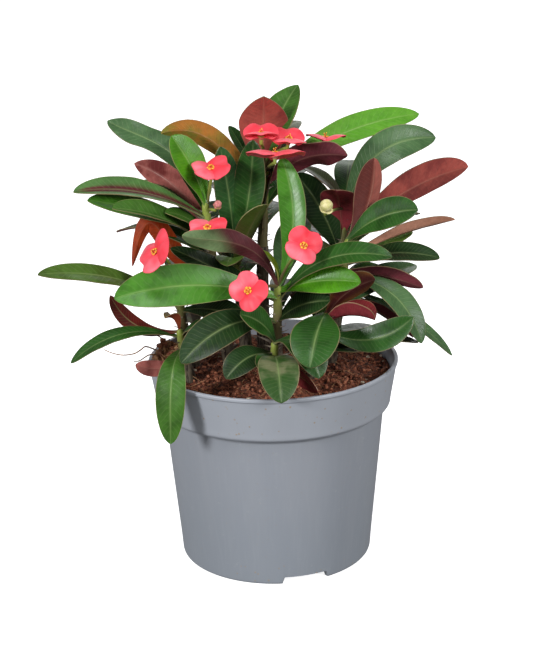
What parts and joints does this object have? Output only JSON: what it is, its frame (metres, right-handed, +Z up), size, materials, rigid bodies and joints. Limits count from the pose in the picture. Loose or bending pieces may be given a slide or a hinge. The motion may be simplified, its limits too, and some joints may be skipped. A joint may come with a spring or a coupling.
{
  "type": "potted plant",
  "caption": "Crown of thorns plant in a round grey plastic nursery pot: thorny stems, long leathery green and red leaves and pink-red paired blooms.",
  "frame": {"origin": "on the pot's axis at its base, where it stands", "axes": "+Z up along the pot's axis; -Y towards the viewer of the picture; +X to that viewer's right"},
  "size_m": [0.2033, 0.1338, 0.2245],
  "materials": {
    "grey_polypropylene": "satin moulded plastic",
    "peat_and_coir": "crumbly, matt",
    "woody_stem": "rough grey-brown bark",
    "waxy_leaf": "waxy, softly glossy; some leaves show red undersides",
    "pink_red_bract": "soft, matt to satin",
    "yellow_eye": "moist, satin",
    "cream_bud": "satin"
  },
  "bodies": {
    "root": {"pot": "grey_polypropylene", "soil": "peat_and_coir", "stem_middle": "woody_stem", "stem_front": "woody_stem", "stem_right": "woody_stem", "stem_upper_left": "woody_stem", "stem_top": "woody_stem", "stem_lower_right": "woody_stem", "stem_lower_left": "woody_stem", "stem_low_front": "woody_stem", "stem_upper_right": "woody_stem", "stem_left": "woody_stem", "foliage_middle": "waxy_leaf", "foliage_front": "waxy_leaf", "foliage_right": "waxy_leaf", "foliage_upper_left": "waxy_leaf", "foliage_top": "waxy_leaf", "foliage_lower_right": "waxy_leaf", "foliage_lower_left": "waxy_leaf", "foliage_low_front": "waxy_leaf", "foliage_upper_right": "waxy_leaf", "foliage_left": "waxy_leaf", "bloom_front_left": "pink_red_bract", "bloom_front_right": "pink_red_bract", "bloom_left_high": "pink_red_bract", "bloom_left_middle": "pink_red_bract", "bloom_far_left": "pink_red_bract", "bloom_top_left": "pink_red_bract", "bloom_top_back": "pink_red_bract", "bloom_top_middle": "pink_red_bract", "bloom_top_right": "pink_red_bract", "eye_front_left": "yellow_eye", "eye_front_right": "yellow_eye", "eye_left_high": "yellow_eye", "eye_left_middle": "yellow_eye", "eye_far_left": "yellow_eye", "eye_top_left": "yellow_eye", "eye_top_back": "yellow_eye", "eye_top_middle": "yellow_eye", "eye_top_right": "yellow_eye", "bud_cream": "cream_bud", "bud_pink": "cream_bud"}
  },
  "joints": []
}
